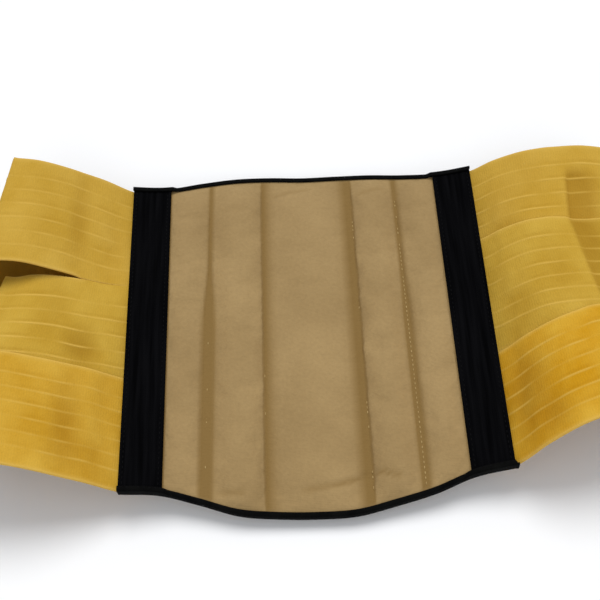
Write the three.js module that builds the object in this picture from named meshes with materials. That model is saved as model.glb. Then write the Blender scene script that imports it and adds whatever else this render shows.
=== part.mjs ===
// A back support belt, fastened to a loop and lying flattened with its padded back panel on top.
// Millimetres: +X to the right, +Y away from the viewer, +Z up.
// While it is modelled, x = 0 and y = 0 are the middle of the two side tapes and z = 0 is what it lies on.
// At the end the belt is moved so that its origin is the middle of its underside.
import * as THREE from "three";

// Air between pieces that touch on the real belt
const clearance = 0.3;

// Side tapes, sewn over the panel's side edges and the roots of the elastic bands
const sideHeight = 216;
const tapeWidth = 25;
const tapeThickness = 1.6;
const tapeOuterHeight = 21;

// Back panel: padded cloth, quilted into five upright channels
const visiblePanelWidth = 177;
const panelSideMargin = 10;
const seamThickness = 2.4;
const channelPuff = 4;
const farCrown = 11.5;
const nearCrown = 17;

// Binding folded round the panel's far and near edges
const bindingThickness = 1;
const bindingLip = 2;

// Ribbed elastic bands, three on each side
const bandWidth = 76;
const lowerBandWidth = 73.5;
const rightMiddleWidth = 83;
const rightUpperOverlap = 20;
const bandThickness = 2;
const ribCount = 6;
const ribPitch = 10.1;
const ribWidth = 3;
const ribHeight = 0.5;
const rootLength = 12;
const rootDrop = 0.5;

// How far the wings stand out past the tapes and how high they arch
const wingReach = 98;
const wingHeight = 60;

// Hook and loop closure under the panel, plain, with the upper and lower bands a gap apart on it
const closureWidth = 124;
const closureGap = 6.5;
const closureRise = 12;
const closureThickness = 5;
const closureCorner = 10;

// Derived places
const tapeInner = visiblePanelWidth / 2;
const tapeOuter = tapeInner + tapeWidth;
const panelHalf = tapeInner + panelSideMargin;
const sideHalf = sideHeight / 2;
const closureHeight = bandWidth + lowerBandWidth + closureGap;
const layerPitch = bandThickness + clearance;
const closureTop = closureThickness + clearance;
const bedRise = tapeOuterHeight - seamThickness - closureTop;

const tan = new THREE.MeshStandardMaterial({ color: 0xa98e61, roughness: 0.85, metalness: 0 });
const blackTape = new THREE.MeshStandardMaterial({ color: 0x0c0c0d, roughness: 0.8, metalness: 0 });
const blackBinding = new THREE.MeshStandardMaterial({ color: 0x101010, roughness: 0.7, metalness: 0 });
const yellow = new THREE.MeshStandardMaterial({ color: 0xc1993e, roughness: 0.75, metalness: 0 });
const closureCloth = new THREE.MeshStandardMaterial({ color: 0x17171a, roughness: 0.95, metalness: 0 });

const lerp = THREE.MathUtils.lerp;

// The value of one column of a table at a place between its rows, on a smooth curve.
function readTable(rows, key, column, at) {
  const last = rows.length - 1;
  let i = 0;
  while (i < last - 1 && at > rows[i + 1][key]) i += 1;
  const share = THREE.MathUtils.clamp((at - rows[i][key]) / (rows[i + 1][key] - rows[i][key]), 0, 1);
  const before = rows[Math.max(i - 1, 0)][column];
  const after = rows[Math.min(i + 2, last)][column];
  const curve = new THREE.CatmullRomCurve3(
    [before, rows[i][column], rows[i + 1][column], after].map((value, k) => new THREE.Vector3(k, value, 0)),
    false,
    "catmullrom",
    0.5,
  );
  return curve.getPoint((1 + share) / 3).y;
}

// A closed solid through rings of equally many points; endFaces are the triangles that close one ring.
function loft(rings, endFaces) {
  const perRing = rings[0].length;
  const positions = rings.flat().flatMap((point) => [point.x, point.y, point.z]);
  const index = [];
  for (let i = 0; i < rings.length - 1; i += 1) {
    for (let k = 0; k < perRing; k += 1) {
      const a = i * perRing + k;
      const b = i * perRing + ((k + 1) % perRing);
      index.push(a, b, b + perRing, a, b + perRing, a + perRing);
    }
  }
  const lastRing = (rings.length - 1) * perRing;
  for (const [a, b, c] of endFaces) index.push(a, c, b, a + lastRing, b + lastRing, c + lastRing);
  if (signedVolume(positions, index) < 0) index.reverse();
  const geometry = new THREE.BufferGeometry();
  geometry.setAttribute("position", new THREE.Float32BufferAttribute(positions, 3));
  geometry.setIndex(index);
  geometry.computeVertexNormals();
  return geometry;
}

// End faces of a ring that runs over so many columns on top and back over the same columns below.
function pairedEnd(columns) {
  const faces = [];
  for (let k = 0; k < columns - 1; k += 1) {
    const below = 2 * columns - 1 - k;
    faces.push([k, k + 1, below - 1], [k, below - 1, below]);
  }
  return faces;
}

// End faces of a ring from its flat outline, each turning the way that the ring does.
function flatEnd(outline) {
  const ringTurn = Math.sign(THREE.ShapeUtils.area(outline));
  return THREE.ShapeUtils.triangulateShape(outline, []).map(([a, b, c]) => {
    const turn = Math.sign(THREE.ShapeUtils.area([outline[a], outline[b], outline[c]]));
    return turn === ringTurn ? [a, b, c] : [a, c, b];
  });
}

// Six times the volume inside the faces; it is negative when they point inwards.
function signedVolume(positions, index) {
  const corner = (k) => new THREE.Vector3().fromArray(positions, index[k] * 3);
  let sum = 0;
  for (let k = 0; k < index.length; k += 3) {
    sum += corner(k).dot(corner(k + 1).cross(corner(k + 2)));
  }
  return sum;
}

function namedMesh(name, geometry, material) {
  const mesh = new THREE.Mesh(geometry, material);
  mesh.name = name;
  return mesh;
}

// The panel's outline: across is a share of the half width to the tapes' outer edges,
// far and near are shares of the two crowns beyond the tapes' ends.
const outlineRows = [
  { across: -1, far: 0, near: 0 },
  { across: -0.8, far: 0.12, near: 0.02 },
  { across: -0.6, far: 0.6, near: 0.36 },
  { across: -0.4, far: 0.94, near: 0.77 },
  { across: -0.2, far: 0.99, near: 0.92 },
  { across: 0, far: 0.85, near: 0.99 },
  { across: 0.2, far: 0.77, near: 0.98 },
  { across: 0.4, far: 0.6, near: 0.73 },
  { across: 0.6, far: 0.25, near: 0.44 },
  { across: 0.8, far: -0.05, near: 0.02 },
  { across: 1, far: -0.1, near: -0.1 },
];

const farEdge = (x) => sideHalf + farCrown * readTable(outlineRows, "across", "far", x / tapeOuter);
const nearEdge = (x) => -sideHalf - nearCrown * readTable(outlineRows, "across", "near", x / tapeOuter);

// The underside of the panel's edge: it rests on the closure in the middle and rises to the tapes.
const bedHeight = (x) => closureTop + bedRise * Math.min(1, Math.abs(x) / tapeOuter) ** 2;
const bedTop = (x) => bedHeight(x) + seamThickness;

// Seams between the channels, as shares of the visible half width at the far and near ends.
// Round is how boxy the channel to the right of the seam is, and puff its height as a share.
const seamRows = [
  { far: -1, near: -1, puff: 0.62, round: 0.8 },
  { far: -0.7, near: -0.73, puff: 1, round: 0.6 },
  { far: -0.31, near: -0.33, puff: 0.5, round: 0.45 },
  { far: 0.37, near: 0.37, puff: 1, round: 0.6 },
  { far: 0.7, near: 0.71, puff: 0.62, round: 0.8 },
  { far: 1, near: 1, puff: 0, round: 1 },
];
const cellsPerChannel = 6;

// Places along the panel from the near edge to the far one, and how full the padding is there.
// It is flat where the bindings hold it.
const lipShare = (bindingLip + 2 * clearance) / sideHeight;
const fillRows = [
  { along: 0, fill: 0 },
  { along: lipShare, fill: 0 },
  { along: 0.04, fill: 0.65 },
  { along: 0.11, fill: 1 },
  { along: 0.24, fill: 1 },
  { along: 0.37, fill: 0.97 },
  { along: 0.5, fill: 0.95 },
  { along: 0.63, fill: 0.97 },
  { along: 0.76, fill: 1 },
  { along: 0.89, fill: 1 },
  { along: 0.96, fill: 0.65 },
  { along: 1 - lipShare, fill: 0 },
  { along: 1, fill: 0 },
];

// Places across the panel at one level: each has its x and the padding's height above the seams.
function panelColumns(along) {
  const seamAt = (row) => tapeInner * lerp(row.near, row.far, along);
  const columns = [{ x: -panelHalf, puff: 0 }];
  for (let i = 0; i < seamRows.length - 1; i += 1) {
    const row = seamRows[i];
    for (let k = 0; k < cellsPerChannel; k += 1) {
      const share = k / cellsPerChannel;
      const puff = channelPuff * row.puff * Math.sin(Math.PI * share) ** row.round;
      columns.push({ x: lerp(seamAt(row), seamAt(seamRows[i + 1]), share), puff });
    }
  }
  columns.push({ x: tapeInner, puff: 0 }, { x: panelHalf, puff: 0 });
  return columns;
}

function backPanel() {
  const rings = fillRows.map(({ along, fill }) => {
    const level = panelColumns(along).map(({ x, puff }) => {
      const y = lerp(nearEdge(x), farEdge(x), along);
      return { top: new THREE.Vector3(x, y, bedTop(x) + puff * fill), under: new THREE.Vector3(x, y, bedHeight(x)) };
    });
    return [...level.map(({ top }) => top), ...level.map(({ under }) => under).reverse()];
  });
  return namedMesh("back_panel", loft(rings, pairedEnd(rings[0].length / 2)), tan);
}

// A binding: a folded strip round the panel's edge and the tapes' ends, from one tape's outer edge to the other's.
function binding(name, edge, outward) {
  const steps = 26;
  const tapeStack = tapeThickness + clearance;
  const rings = [];
  for (let i = 0; i <= steps; i += 1) {
    const x = lerp(-tapeOuter, tapeOuter, i / steps);
    const overTape = THREE.MathUtils.smoothstep(Math.abs(x), tapeInner - 2 * bindingLip, tapeInner - clearance);
    const lower = bedHeight(x) - clearance;
    const upper = bedTop(x) + clearance + tapeStack * overTape;
    const section = [
      { out: -bindingLip, z: lower - bindingThickness },
      { out: clearance + bindingThickness / 2, z: lower - bindingThickness },
      { out: clearance + bindingThickness, z: lower },
      { out: clearance + bindingThickness, z: upper },
      { out: clearance + bindingThickness / 2, z: upper + bindingThickness },
      { out: -bindingLip, z: upper + bindingThickness },
      { out: -bindingLip, z: upper },
      { out: clearance, z: upper },
      { out: clearance, z: lower },
      { out: -bindingLip, z: lower },
    ];
    rings.push(section.map(({ out, z }) => new THREE.Vector3(x, edge(x) + outward * out, z)));
  }
  const outline = rings[0].map((point) => new THREE.Vector2(point.y, point.z));
  return namedMesh(name, loft(rings, flatEnd(outline)), blackBinding);
}

// A side tape: a flat strip that follows the panel's edge and the band roots under it.
function sideTape(name, side) {
  const columns = 4;
  const steps = 12;
  const rings = [];
  for (let i = 0; i <= steps; i += 1) {
    const level = [];
    for (let k = 0; k <= columns; k += 1) {
      const x = side * lerp(tapeInner, tapeOuter, k / columns);
      level.push({ x, y: lerp(nearEdge(x), farEdge(x), i / steps), z: bedTop(x) + clearance });
    }
    const under = level.map(({ x, y, z }) => new THREE.Vector3(x, y, z));
    const top = level.map(({ x, y, z }) => new THREE.Vector3(x, y, z + tapeThickness));
    rings.push([...top, ...under.reverse()]);
  }
  return namedMesh(name, loft(rings, pairedEnd(columns + 1)), blackTape);
}

// The way a band rises from the tape to its crest: out is a share of the crest's distance
// and rise a share of its height over the tape. The two edges at the left slit are sewn together
// for a third of the way, and part from there.
const riseRows = {
  leftSlitUpper: [
    { out: 0.25, rise: 0.2 },
    { out: 0.55, rise: 0.6 },
    { out: 0.8, rise: 0.92 },
    { out: 1, rise: 1 },
  ],
  leftSlitLower: [
    { out: 0.25, rise: 0.23 },
    { out: 0.55, rise: 0.73 },
    { out: 0.8, rise: 0.96 },
    { out: 1, rise: 1 },
  ],
  left: [
    { out: 0.25, rise: 0.36 },
    { out: 0.55, rise: 0.7 },
    { out: 0.8, rise: 0.92 },
    { out: 1, rise: 1 },
  ],
  right: [
    { out: 0.25, rise: 0.48 },
    { out: 0.55, rise: 0.85 },
    { out: 0.8, rise: 0.98 },
    { out: 1, rise: 1 },
  ],
};

// The fold and the way back: out is a share of the band's reach, height a share of its crest,
// and turn how far the band has moved from its place at the tape to its place at the closure.
const foldRows = [
  { out: 0.985, height: 0.92, turn: 0.15 },
  { out: 1, height: 0.68, turn: 0.35 },
  { out: 0.97, height: 0.36, turn: 0.6 },
  { out: 0.87, height: 0.1, turn: 0.85 },
  { out: 0.68, height: 0, turn: 1 },
];

// Samples between one row of a band's path and the next, from its root to the closure
const samplesPerRow = [1, 2, 2, 2, 2, 2, 2, 2, 2, 2, 2, 1, 1];

// Each edge of a band: crestAt and reach are shares of the wings' reach, crest and plateau shares of their height.
// Plateau is the height half way from the crest to the fold, tuck how far the cloth curls in at the fold,
// and rises the rows of a slit's edge. An edge that is under another band takes its way from that band,
// so many layers further in at the tape and at the crest.
const bandRows = [
  {
    name: "elastic_left_lower",
    side: -1,
    farPlace: nearEdge(-tapeOuter) + lowerBandWidth,
    floorPlace: closureRise - closureHeight / 2 + lowerBandWidth,
    width: lowerBandWidth,
    sway: 0.1,
    floorLayer: 0,
    far: { crestAt: 0.73, crest: 0.85, plateau: 0.85, reach: 0.98 },
    near: { crestAt: 0.72, crest: 0.94, plateau: 0.93, reach: 1 },
  },
  {
    name: "elastic_left_middle",
    side: -1,
    farPlace: farEdge(-tapeOuter) - bandWidth - clearance,
    floorPlace: closureRise + bandWidth / 2,
    width: bandWidth,
    sway: 0.036,
    floorLayer: 1,
    far: { crestAt: 0.6, crest: 0.62, plateau: 0.6, reach: 0.8, rises: "leftSlitLower" },
    near: { under: "elastic_left_lower", rootLayers: 1.2, layers: 1.2 },
  },
  {
    name: "elastic_left_upper",
    side: -1,
    farPlace: farEdge(-tapeOuter),
    floorPlace: closureRise + closureHeight / 2,
    width: bandWidth,
    sway: 0.05,
    floorLayer: 0,
    far: { crestAt: 0.7, crest: 0.99, plateau: 1, reach: 0.77 },
    near: { crestAt: 0.79, crest: 0.89, plateau: 0.87, reach: 0.93, rises: "leftSlitUpper", tuck: 12 },
  },
  {
    name: "elastic_right_lower",
    side: 1,
    farPlace: nearEdge(tapeOuter) + lowerBandWidth,
    floorPlace: closureRise - closureHeight / 2 + lowerBandWidth,
    width: lowerBandWidth,
    sway: 0.18,
    floorLayer: 0,
    far: { crestAt: 0.57, crest: 0.8, plateau: 0.8, reach: 0.98 },
    near: { crestAt: 0.6, crest: 0.98, plateau: 0.97, reach: 1 },
  },
  {
    name: "elastic_right_middle",
    side: 1,
    farPlace: farEdge(tapeOuter) - bandWidth + rightUpperOverlap,
    floorPlace: closureRise + rightMiddleWidth / 2,
    width: rightMiddleWidth,
    sway: 0,
    floorLayer: 1,
    far: { crestAt: 0.46, crest: 0.67, plateau: 0.62, reach: 0.97 },
    near: { under: "elastic_right_lower", rootLayers: 1.2, layers: 1.7 },
  },
  {
    name: "elastic_right_upper",
    side: 1,
    farPlace: farEdge(tapeOuter),
    floorPlace: closureRise + closureHeight / 2,
    width: bandWidth,
    sway: 0,
    floorLayer: 2,
    far: { crestAt: 0.56, crest: 0.67, plateau: 0.66, reach: 0.94 },
    near: { under: "elastic_right_middle", rootLayers: 1.45, layers: 2.3 },
  },
];

const sideRises = (band) => riseRows[band.side < 0 ? "left" : "right"];

// How far each row of a path is along the rise (sway) and round the fold (turn).
function pathProgress(band) {
  const rises = sideRises(band);
  return [
    { sway: 0, turn: 0 },
    { sway: 0, turn: 0 },
    ...rises.map(({ out }) => ({ sway: out, turn: 0 })),
    { sway: 1, turn: 0 },
    ...foldRows.map(({ turn }) => ({ sway: 1, turn })),
    { sway: 1, turn: 1 },
    { sway: 1, turn: 1 },
  ];
}

// The y of a band's far edge at each row of its path, and of its near edge.
function edgePlaces(band) {
  const tuck = band.near.tuck ?? 0;
  return pathProgress(band).map(({ sway, turn }) => {
    const far = lerp(band.farPlace + sway * band.sway * band.width, band.floorPlace, turn);
    return { far, near: far - band.width + tuck * Math.sin(Math.PI * turn) };
  });
}

// The way of one edge in x and z, from under the tape to the closure, as seen along the band's width.
function edgeProfile(band, edge) {
  const rises = edge.rises ? riseRows[edge.rises] : sideRises(band);
  const crestOut = edge.crestAt * wingReach;
  const reach = edge.reach * wingReach;
  const crest = edge.crest * wingHeight;
  const root = tapeOuter - rootLength;
  const tapeEdge = bedTop(tapeOuter) - rootDrop;
  const end = closureWidth / 2 + clearance;
  const floorStart = tapeOuter + foldRows[foldRows.length - 1].out * reach;
  return [
    { out: root, z: bedTop(root) - rootDrop },
    { out: tapeOuter, z: tapeEdge },
    ...rises.map(({ out, rise }) => ({ out: tapeOuter + out * crestOut, z: lerp(tapeEdge, crest, rise) })),
    { out: tapeOuter + (crestOut + reach) / 2, z: edge.plateau * wingHeight },
    ...foldRows.map(({ out, height }) => ({ out: tapeOuter + out * reach, z: height * crest })),
    { out: (floorStart + end) / 2, z: 0 },
    { out: end, z: 0 },
  ];
}

// An edge with a way of its own, moved in by the layers that it lies on at the closure.
function freeEdge(band, edge, places) {
  const profile = edgeProfile(band, edge);
  const progress = pathProgress(band);
  return profile.map((point, i) => {
    const before = profile[Math.max(i - 1, 0)];
    const after = profile[Math.min(i + 1, profile.length - 1)];
    const inward = new THREE.Vector2(after.z - before.z, before.out - after.out).normalize();
    const depth = band.floorLayer * layerPitch * progress[i].turn;
    const endTilt = i === profile.length - 1 ? 0 : inward.x * depth;
    return new THREE.Vector3(band.side * (point.out + endTilt), places[i], point.z + inward.y * depth);
  });
}

// An edge that runs inside another band, so many layers further in, and one layer in at the closure.
function edgeUnder(band, edge, places, surfaces) {
  const host = surfaces.get(edge.under);
  const progress = pathProgress(band);
  return places.map((y, i) => {
    const t = i / (places.length - 1);
    const { sway, turn } = progress[i];
    const layers = lerp(lerp(edge.rootLayers, edge.layers, sway), 1, turn);
    const point = host.pointAtPlace(t, y);
    const inward = host.normalAt(t, host.shareAtPlace(t, y)).multiplyScalar(-layers * layerPitch);
    if (i === 0 || i === places.length - 1) inward.x = 0;
    return point.add(inward);
  });
}

// The outer face of a band between its two edges, and its outward direction at any place.
function bandSurface(band, surfaces) {
  const places = edgePlaces(band);
  const edgeCurve = (side) => {
    const edge = band[side];
    const along = places.map((place) => place[side]);
    const points = edge.under ? edgeUnder(band, edge, along, surfaces) : freeEdge(band, edge, along);
    return new THREE.CatmullRomCurve3(points, false, "catmullrom", 0.5);
  };
  const far = edgeCurve("far");
  const near = edgeCurve("near");
  const shareAtPlace = (t, y) => (far.getPoint(t).y - y) / (far.getPoint(t).y - near.getPoint(t).y);
  const pointAt = (t, share) => far.getPoint(t).lerp(near.getPoint(t), share);
  const normalAt = (t, share) => {
    const along = far.getTangent(t).lerp(near.getTangent(t), share);
    const across = near.getPoint(t).sub(far.getPoint(t));
    return across.cross(along).normalize().multiplyScalar(band.side);
  };
  return { pointAt, normalAt, shareAtPlace, pointAtPlace: (t, y) => pointAt(t, shareAtPlace(t, y)) };
}

// A slight bow in the flat shape of a band's ends, so that no three of its points are in line
const outlineBow = 0.05;

// A band's section: share across its width and depth under the ribs' tops.
function bandSection(width) {
  const section = [{ share: 0, depth: ribHeight }];
  for (let i = 0; i < ribCount; i += 1) {
    const middle = 0.5 + ((i - (ribCount - 1) / 2) * ribPitch) / width;
    const half = ribWidth / 2 / width;
    section.push({ share: middle - half, depth: ribHeight });
    section.push({ share: middle, depth: 0 });
    section.push({ share: middle + half, depth: ribHeight });
  }
  section.push({ share: 1, depth: ribHeight });
  for (const share of [1, 0.5, 0]) section.push({ share, depth: bandThickness });
  return section;
}

function elasticBand(band, surfaces) {
  const surface = bandSurface(band, surfaces);
  surfaces.set(band.name, surface);
  const section = bandSection(band.width);
  const stations = [0];
  samplesPerRow.forEach((samples, i) => {
    for (let k = 1; k <= samples; k += 1) stations.push((i + k / samples) / samplesPerRow.length);
  });
  const rings = stations.map((t) =>
    section.map(({ share, depth }) => {
      const inward = surface.normalAt(t, share).multiplyScalar(-depth);
      return surface.pointAt(t, share).add(inward);
    }),
  );
  const outline = section.map(({ share, depth }) => new THREE.Vector2(share, outlineBow * share * (1 - share) - depth));
  return namedMesh(band.name, loft(rings, flatEnd(outline)), yellow);
}

// The fastened closure: one plain plate with round corners.
function closurePanel() {
  const halfX = closureWidth / 2;
  const halfY = closureHeight / 2;
  const r = closureCorner;
  const shape = new THREE.Shape();
  shape.moveTo(-halfX + r, -halfY);
  shape.lineTo(halfX - r, -halfY);
  shape.absarc(halfX - r, -halfY + r, r, -Math.PI / 2, 0);
  shape.lineTo(halfX, halfY - r);
  shape.absarc(halfX - r, halfY - r, r, 0, Math.PI / 2);
  shape.lineTo(-halfX + r, halfY);
  shape.absarc(-halfX + r, halfY - r, r, Math.PI / 2, Math.PI);
  shape.lineTo(-halfX, -halfY + r);
  shape.absarc(-halfX + r, -halfY + r, r, Math.PI, 1.5 * Math.PI);
  const geometry = new THREE.ExtrudeGeometry(shape, {
    depth: closureThickness,
    bevelEnabled: false,
    curveSegments: 6,
  });
  const mesh = namedMesh("closure_panel", geometry, closureCloth);
  mesh.position.y = closureRise;
  return mesh;
}

const belt = new THREE.Group();
const surfaces = new Map();
belt.add(backPanel());
belt.add(binding("top_binding", farEdge, 1));
belt.add(binding("bottom_binding", nearEdge, -1));
belt.add(sideTape("side_tape_left", -1));
belt.add(sideTape("side_tape_right", 1));
for (const band of bandRows) belt.add(elasticBand(band, surfaces));
belt.add(closurePanel());

const box = new THREE.Box3().setFromObject(belt);
belt.position.set(-(box.min.x + box.max.x) / 2, -(box.min.y + box.max.y) / 2, -box.min.z);

export default belt;
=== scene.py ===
import math

import bpy
import numpy as np
from mathutils import Matrix, Vector


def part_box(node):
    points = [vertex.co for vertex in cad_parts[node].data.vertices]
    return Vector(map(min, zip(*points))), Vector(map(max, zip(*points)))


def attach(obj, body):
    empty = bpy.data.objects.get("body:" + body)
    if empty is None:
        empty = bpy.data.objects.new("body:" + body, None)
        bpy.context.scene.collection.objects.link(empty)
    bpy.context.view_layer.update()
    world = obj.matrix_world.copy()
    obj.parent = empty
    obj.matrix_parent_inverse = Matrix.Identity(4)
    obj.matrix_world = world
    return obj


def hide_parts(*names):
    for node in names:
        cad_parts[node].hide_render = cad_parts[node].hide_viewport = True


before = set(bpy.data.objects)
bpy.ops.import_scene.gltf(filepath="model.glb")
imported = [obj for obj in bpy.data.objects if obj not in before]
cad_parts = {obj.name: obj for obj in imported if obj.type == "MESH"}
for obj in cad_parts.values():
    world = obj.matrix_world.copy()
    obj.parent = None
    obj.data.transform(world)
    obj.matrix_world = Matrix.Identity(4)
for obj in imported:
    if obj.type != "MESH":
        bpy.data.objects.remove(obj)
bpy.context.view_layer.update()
bpy.ops.object.select_all(action="DESELECT")
print("frame loaded")

# The belt is worked out in millimetres from the middle of its two side tapes, with z = 0 on the floor.
# The sizes here are those that several pieces share.
mm = 0.001
clearance = 0.3

tapes = {
    "height": 216,
    "width": 25,
    "thickness": 1.6,
    "outerHeight": 21,
    "inner": 88.5,
    "ridge": 0.14,
    "ridgePitch": 4.2,
}

closure = {
    "width": 124,
    "rise": 12,
    "thickness": 5,
    "corner": 10,
    "gap": 6.5,
    "bandWidth": 76,
    "lowerWidth": 73.5,
}
closure["height"] = closure["bandWidth"] + closure["lowerWidth"] + closure["gap"]
closure["top"] = closure["thickness"] + clearance

tapes["outer"] = tapes["inner"] + tapes["width"]
tapes["half"] = tapes["height"] / 2

closureLow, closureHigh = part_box("closure_panel")
beltCentre = np.array(
    [(closureLow.x + closureHigh.x) / 2, (closureLow.y + closureHigh.y) / 2 - closure["rise"] * mm, 0]
)


def lerp(start, end, share):
    return start + (end - start) * share


def smoothStep(low, high, value):
    share = np.clip((value - low) / (high - low), 0, 1)
    return share * share * (3 - 2 * share)


def bump(distance, half):
    # 1 in the middle and 0 from half a width away, with a round top
    return np.cos(np.clip(np.abs(distance) / half, 0, 1) * math.pi / 2) ** 2


def curveAt(points, place, endsHeld=False):
    # The smooth curve through rows of points, at places counted in rows
    points = np.asarray(points, float)
    place = np.clip(place, 0, len(points) - 1)
    row = np.minimum(np.floor(place).astype(int), len(points) - 2)
    first = points[:1] if endsHeld else 2 * points[:1] - points[1:2]
    last = points[-1:] if endsHeld else 2 * points[-1:] - points[-2:-1]
    padded = np.concatenate([first, points, last])
    before, start, end, after = (padded[row + k] for k in range(4))
    share = place - row
    if points.ndim > 1:
        share = share[..., None]
    leave = (end - before) / 2
    arrive = (after - start) / 2
    square, cube = share**2, share**3
    return start + leave * share + (3 * (end - start) - 2 * leave - arrive) * square + (
        2 * (start - end) + leave + arrive
    ) * cube


def readTable(rows, column, at):
    # One column of a table, read at a place in its first column
    keys = [row[0] for row in rows]
    values = [row[column] for row in rows]
    return curveAt(values, np.interp(at, keys, np.arange(len(rows))), endsHeld=True)


def unit(vectors):
    return vectors / np.linalg.norm(vectors, axis=-1)[..., None]


def lengthsAlong(points):
    # How far along a line each of its points lies
    steps = np.linalg.norm(np.diff(points, axis=0), axis=1)
    return np.concatenate([[0], np.cumsum(steps)])


def ripples(random, across, along, count, longest, shortest):
    # A soft uneven field from 1 to -1, as a sum of waves in random directions
    total = np.zeros(np.broadcast(across, along).shape)
    for _ in range(count):
        turn = random.uniform(0, 2 * math.pi)
        pitch = random.uniform(shortest, longest)
        phase = random.uniform(0, 2 * math.pi)
        total += np.sin((across * math.cos(turn) + along * math.sin(turn)) * 2 * math.pi / pitch + phase)
    return total / math.sqrt(count) / 1.6


# Pieces from rings of points


def ringFaces(rings, perRing, cap):
    # The faces between rings of points, with the same cap on both ends
    ring, point = np.meshgrid(np.arange(rings - 1), np.arange(perRing), indexing="ij")
    here = ring * perRing + point
    beside = ring * perRing + (point + 1) % perRing
    sides = np.stack([here, beside, beside + perRing, here + perRing], -1).reshape(-1, 4).tolist()
    last = (rings - 1) * perRing
    return sides + [face[::-1] for face in cap] + [[k + last for k in face] for face in cap]


def readPlaces(mesh):
    places = np.zeros(len(mesh.vertices) * 3)
    mesh.vertices.foreach_get("co", places)
    return places.reshape(-1, 3)


def pointOutwards(mesh):
    # Turns the faces round where they enclose a negative volume
    mesh.calc_loop_triangles()
    places, corners = readPlaces(mesh), np.zeros(len(mesh.loop_triangles) * 3, np.int32)
    mesh.loop_triangles.foreach_get("vertices", corners)
    first, second, third = (places[corners.reshape(-1, 3)[:, k]] for k in range(3))
    if (first * np.cross(second, third)).sum() < 0:
        mesh.flip_normals()


def makePiece(name, points, faces, node, material, cloth=None, marks=None):
    # Points are in millimetres in the belt's own place. Cloth is each point's place on the flat cloth.
    placed = np.asarray(points, float) * mm + beltCentre
    mesh = bpy.data.meshes.new(name)
    mesh.from_pydata(placed.tolist(), [], faces)
    pointOutwards(mesh)
    piece = bpy.data.objects.new(name, mesh)
    bpy.context.scene.collection.objects.link(piece)
    mesh.materials.append(material)
    mesh.shade_smooth()
    if cloth is not None:
        layer = mesh.uv_layers.new(name="cloth")
        corner = np.zeros(len(mesh.loops), np.int32)
        mesh.loops.foreach_get("vertex_index", corner)
        layer.uv.foreach_set("vector", np.asarray(cloth, np.float32)[corner].ravel())
    for key, values in (marks or {}).items():
        mark = mesh.attributes.new(key, "FLOAT", "POINT")
        mark.data.foreach_set("value", np.asarray(values, np.float32))
    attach(piece, "root")
    if node:
        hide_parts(node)
    return piece


# Materials


def paint(red, green, blue):
    # A colour as seen on screen, from 0 to 255, made linear
    shares = [channel / 255 for channel in (red, green, blue)]
    return tuple(c / 12.92 if c <= 0.04045 else ((c + 0.055) / 1.055) ** 2.4 for c in shares) + (1.0,)


def addNode(tree, kind, inputs=None, **settings):
    made = tree.nodes.new("ShaderNode" + kind)
    for name, value in settings.items():
        setattr(made, name, value)
    for name, value in (inputs or {}).items():
        if isinstance(value, bpy.types.NodeSocket):
            tree.links.new(value, made.inputs[name])
        else:
            made.inputs[name].default_value = value
    return made


def calculate(tree, operation, first, second=0.0, third=0.0):
    return addNode(tree, "Math", {0: first, 1: second, 2: third}, operation=operation).outputs[0]


def blendColours(tree, share, first, second, mode="MIX"):
    made = addNode(tree, "Mix", {0: share, 6: first, 7: second}, data_type="RGBA", blend_type=mode)
    return made.outputs[2]


def cloudiness(tree, vector, scale, detail=3.0, low=0.35, high=0.65):
    # Soft patches from 0 to 1
    noise = addNode(tree, "TexNoise", {"Vector": vector, "Scale": scale, "Detail": detail, "Roughness": 0.55})
    return addNode(
        tree, "MapRange", {"Value": noise.outputs[0], "From Min": low, "From Max": high}, clamp=True
    ).outputs[0]


def wave(tree, value, pitch, phase=0.0):
    # A sine from 0 to 1 over a length in metres
    turns = calculate(tree, "MULTIPLY_ADD", value, 2 * math.pi / pitch, phase)
    return calculate(tree, "MULTIPLY_ADD", calculate(tree, "SINE", turns), 0.5, 0.5)


def crossedThreads(tree, look, across, along):
    threads, picks = wave(tree, across, look["threadPitch"]), wave(tree, along, look["pickPitch"])
    return calculate(tree, "MULTIPLY", threads, picks)


def clothPlaces(tree):
    # The place on the flat cloth, then how far across and along it that is
    cloth = addNode(tree, "UVMap", uv_map="cloth").outputs[0]
    axes = addNode(tree, "SeparateXYZ", {0: cloth})
    return cloth, axes.outputs[0], axes.outputs[1]


shaderSockets = {
    "roughness": "Roughness",
    "specular": "Specular IOR Level",
    "sheen": "Sheen Weight",
    "sheenTint": "Sheen Tint",
    "colour": "Base Color",
}


def startMaterial(name, look):
    material = bpy.data.materials.new(name)
    material.use_nodes = True
    shader = material.node_tree.nodes["Principled BSDF"]
    for key, socket in shaderSockets.items():
        if key in look:
            shader.inputs[socket].default_value = look[key]
    return material, material.node_tree, shader


def makeMaterial(name, look, makePatterns, deepColour, colour):
    # Patches of two colours, shaded finely by patterns and tinted by the piece's own marks (some are painted
    # shade), with the patterns' bumps laid one on another
    material, tree, shader = startMaterial(name, look)
    patterns = makePatterns(tree, look)
    base = blendColours(tree, patterns["patches"], deepColour, colour)
    if "shades" in look:
        fine = look["leastShade"]
        for key, share in look["shades"].items():
            fine = calculate(tree, "MULTIPLY_ADD", patterns[key], share, fine)
        base = blendColours(tree, 1.0, base, fine, "MULTIPLY")
    for mark, tint, mode in look.get("marks", []):
        share = addNode(tree, "Attribute", attribute_name=mark).outputs["Fac"]
        base = blendColours(tree, share, base, tint, mode)
    tree.links.new(base, shader.inputs["Base Color"])
    under = {}
    for key, depth in look["depths"].items():
        bumps = addNode(tree, "Bump", {"Height": patterns[key], "Distance": depth, "Strength": 1.0, **under})
        under = {"Normal": bumps.outputs[0]}
    tree.links.new(under["Normal"], shader.inputs["Normal"])
    return material


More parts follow.
